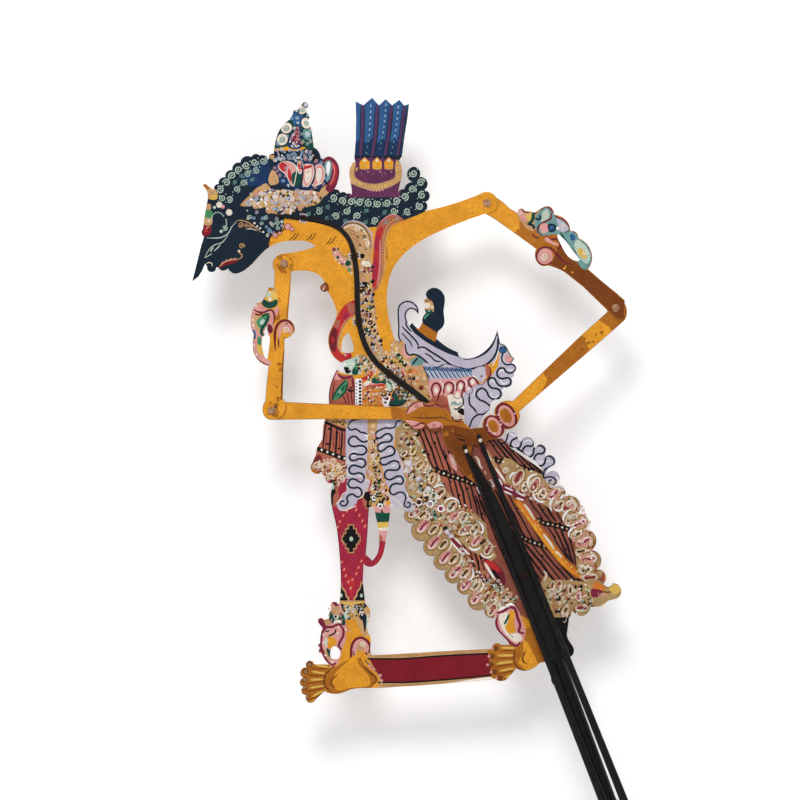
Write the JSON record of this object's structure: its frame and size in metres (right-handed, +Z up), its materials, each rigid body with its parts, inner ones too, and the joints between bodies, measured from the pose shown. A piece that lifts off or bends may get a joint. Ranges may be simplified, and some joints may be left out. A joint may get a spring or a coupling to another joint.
{
  "type": "leather shadow puppet",
  "caption": "Flat painted and pierced hide shadow puppet on a split horn rod, with jointed arms that two hand rods move.",
  "frame": {"origin": "centre of the main rod's foot", "axes": "+Z up as the puppet stands in the picture, -Y towards the viewer of the painted front, +X to the puppet's back"},
  "size_m": [0.345, 0.0286, 0.6034],
  "materials": {
    "painted_hide": "satin",
    "dark_horn": "satin",
    "bone": "satin",
    "hide_washer": "matte",
    "thread": "matte"
  },
  "bodies": {
    "torso": {"body_hide": "painted_hide", "main_rod": "dark_horn", "front_shoulder_pin": "bone", "front_shoulder_washer": "hide_washer", "rear_shoulder_pin": "bone", "rear_shoulder_washer": "hide_washer", "tie_jaw": "thread", "tie_chest": "thread", "tie_waist": "thread", "tie_belt": "thread", "tie_skirt": "thread", "tie_hem": "thread"},
    "front_upper_arm": {"front_upper_arm": "painted_hide", "front_elbow_pin": "bone", "front_elbow_washer": "hide_washer"},
    "front_forearm": {"front_forearm": "painted_hide"},
    "front_rod": {"front_arm_rod": "dark_horn", "front_hand_stem": "thread"},
    "rear_upper_arm": {"rear_upper_arm": "painted_hide", "rear_elbow_pin": "bone", "rear_elbow_washer": "hide_washer"},
    "rear_forearm": {"rear_forearm": "painted_hide"},
    "rear_rod": {"rear_arm_rod": "dark_horn", "rear_hand_stem": "thread"}
  },
  "joints": [
    {"name": "front_shoulder", "type": "hinge", "parent": "torso", "child": "front_upper_arm", "pos_m": [-0.2715, 0, 0.4774], "axis": [0, -1, 0], "range_deg": [-90, 1]},
    {"name": "front_elbow", "type": "hinge", "parent": "front_upper_arm", "child": "front_forearm", "pos_m": [-0.2805, -0.0046, 0.3671], "axis": [0, -1, 0], "range_deg": [-85, 1]},
    {"name": "front_hand", "type": "hinge", "parent": "front_forearm", "child": "front_rod", "pos_m": [-0.135, -0.0046, 0.3368], "axis": [0, -1, 0], "range_deg": [-75, 70]},
    {"name": "rear_shoulder", "type": "hinge", "parent": "torso", "child": "rear_upper_arm", "pos_m": [-0.11925, 0, 0.52275], "axis": [0, -1, 0], "range_deg": [-1, 90]},
    {"name": "rear_elbow", "type": "hinge", "parent": "rear_upper_arm", "child": "rear_forearm", "pos_m": [-0.023, -0.0031, 0.444], "axis": [0, -1, 0], "range_deg": [-1, 80]},
    {"name": "rear_hand", "type": "hinge", "parent": "rear_forearm", "child": "rear_rod", "pos_m": [-0.1245, -0.0031, 0.3448], "axis": [0, -1, 0], "range_deg": [-50, 75]}
  ]
}
